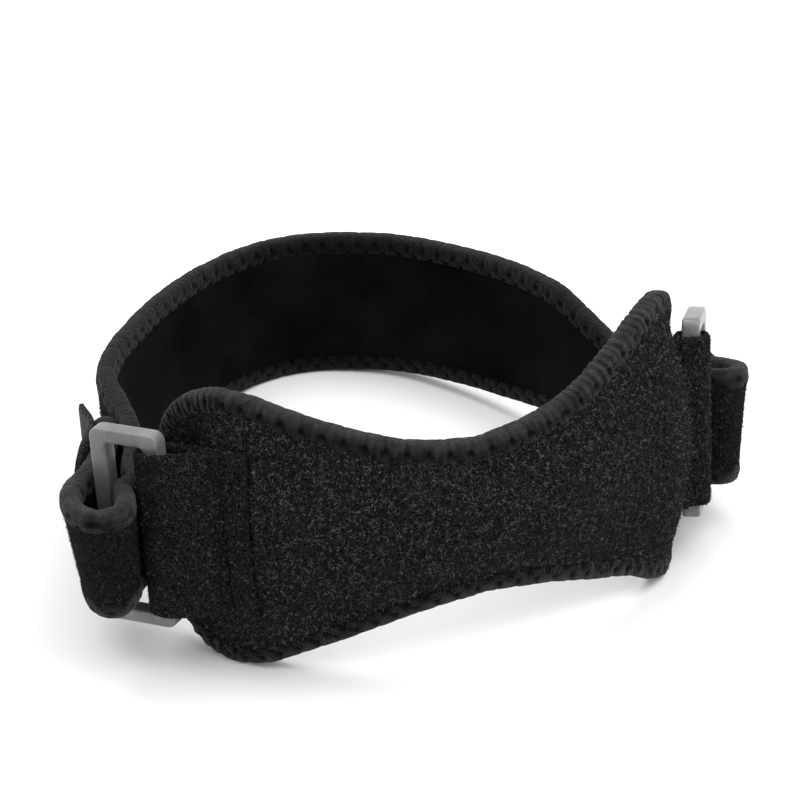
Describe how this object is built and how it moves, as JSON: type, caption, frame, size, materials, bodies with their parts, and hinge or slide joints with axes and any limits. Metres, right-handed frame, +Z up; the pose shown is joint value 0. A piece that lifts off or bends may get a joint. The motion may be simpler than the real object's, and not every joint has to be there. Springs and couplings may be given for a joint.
{
  "type": "patella strap",
  "caption": "Padded knee strap with a bow-tie front pad, bound edges, plastic rings on sewn tabs and a back strap whose ends fold back through the rings.",
  "frame": {"origin": "middle of the bounding box, on the surface that the strap stands on", "axes": "+X to the pad's left as it is worn seen from the front, which is the right of the strap seen from the front; +Y from the pad to the back strap; +Z up"},
  "size_m": [0.1586, 0.1324, 0.0623],
  "materials": {
    "pad_pile": "brushed loop pile",
    "pad_binding_tape": "smooth stretch tape",
    "strap_cloth": "smooth inside, brushed loop pile outside",
    "strap_binding_tape": "smooth stretch tape",
    "tab_pile": "brushed loop pile",
    "hook_tape": "hook tape",
    "ring_plastic": "satin"
  },
  "bodies": {
    "root": {"pad": "pad_pile", "pad_binding": "pad_binding_tape", "back_strap": "strap_cloth", "back_strap_binding": "strap_binding_tape", "left_ring": "ring_plastic", "right_ring": "ring_plastic", "left_tab": "tab_pile", "right_tab": "tab_pile", "left_hook_tab": "hook_tape", "right_hook_tab": "hook_tape"}
  },
  "joints": []
}
